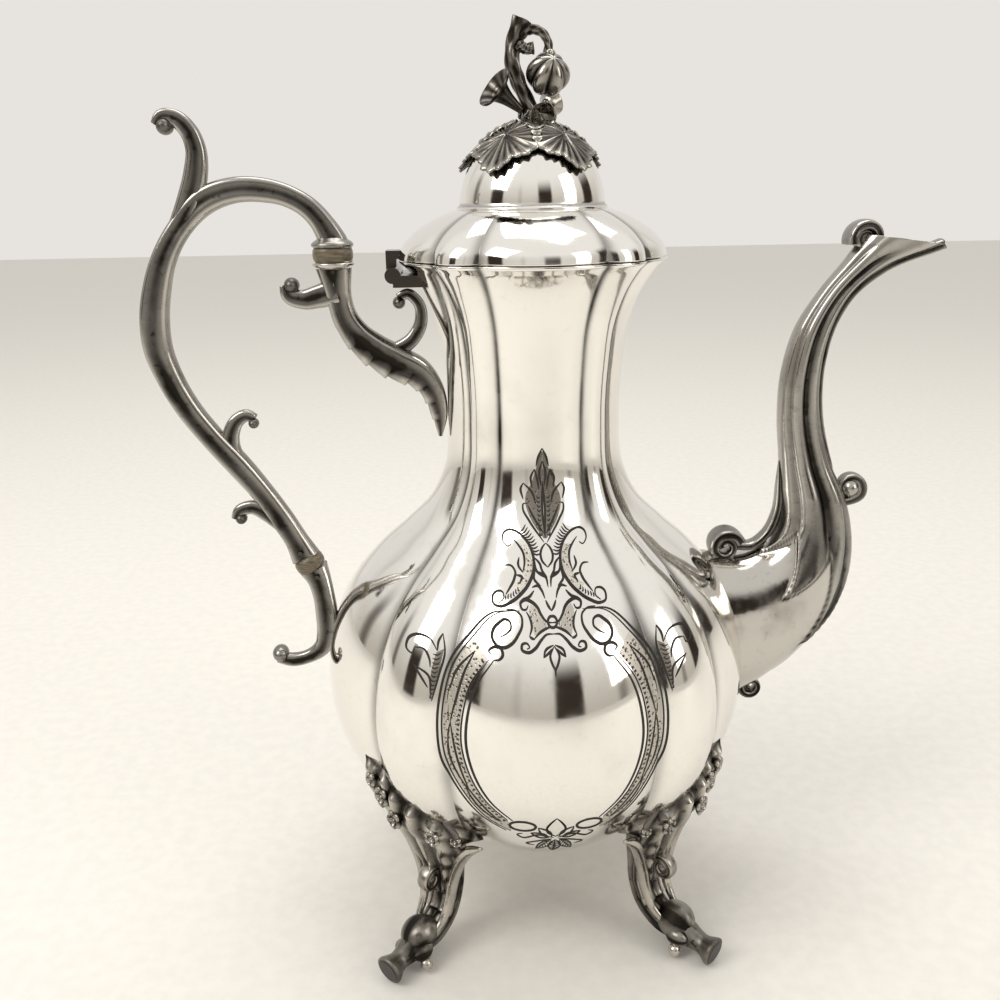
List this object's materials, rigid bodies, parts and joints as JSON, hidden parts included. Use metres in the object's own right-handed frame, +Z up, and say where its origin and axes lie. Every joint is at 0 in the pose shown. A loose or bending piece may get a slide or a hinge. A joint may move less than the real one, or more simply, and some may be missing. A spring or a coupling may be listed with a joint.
{
  "type": "coffee pot",
  "caption": "Lobed pear-shaped coffee pot with hinged lid, fruit finial, scrolled spout, insulated scroll handle and four cast legs.",
  "frame": {"origin": "point on the table under the pot's vertical axis, in the plane of the four soles", "axes": "+Z up, +X towards the spout, -X towards the handle, -Y the engraved front"},
  "size_m": [0.2538, 0.1426, 0.291],
  "materials": {
    "polished_silver": "polished silver plate with fine wear",
    "cast_silver": "cast silver plate with dark patina in the hollows",
    "oxidised_silver": "chased and oxidised silver",
    "fixing_metal": "plain turned brass",
    "ivory": "aged bone or ivory, polished",
    "dark_pad": "blackened metal"
  },
  "bodies": {
    "pot": {"body_pan": "polished_silver", "body_belly": "polished_silver", "body_shoulder": "polished_silver", "body_neck": "polished_silver", "hinge_body_leaf": "polished_silver", "hinge_pin": "polished_silver", "spout_front_half": "cast_silver", "spout_back_half": "cast_silver", "handle": "cast_silver", "upper_socket": "cast_silver", "lower_socket": "cast_silver", "upper_handle_rivet": "cast_silver", "upper_socket_rivet": "cast_silver", "lower_handle_rivet": "cast_silver", "lower_socket_rivet": "cast_silver", "foot_front_right": "cast_silver", "foot_front_left": "cast_silver", "foot_back_right": "cast_silver", "foot_back_left": "cast_silver", "upper_insulator": "ivory", "lower_insulator": "ivory", "toe_pad_front_right": "dark_pad", "toe_pad_front_left": "dark_pad", "toe_pad_back_right": "dark_pad", "toe_pad_back_left": "dark_pad"},
    "lid": {"lid_shell": "polished_silver", "lid_dome": "polished_silver", "lid_bezel": "polished_silver", "leaf_spray": "oxidised_silver", "finial": "oxidised_silver", "finial_stud": "fixing_metal", "finial_washer": "fixing_metal", "finial_nut": "fixing_metal", "hinge_lid_leaf": "polished_silver"}
  },
  "joints": [
    {"name": "lid_hinge", "type": "hinge", "parent": "pot", "child": "lid", "pos_m": [-0.0431, 0, 0.2183], "axis": [0, -1, 0], "range_deg": [0, 75]}
  ]
}
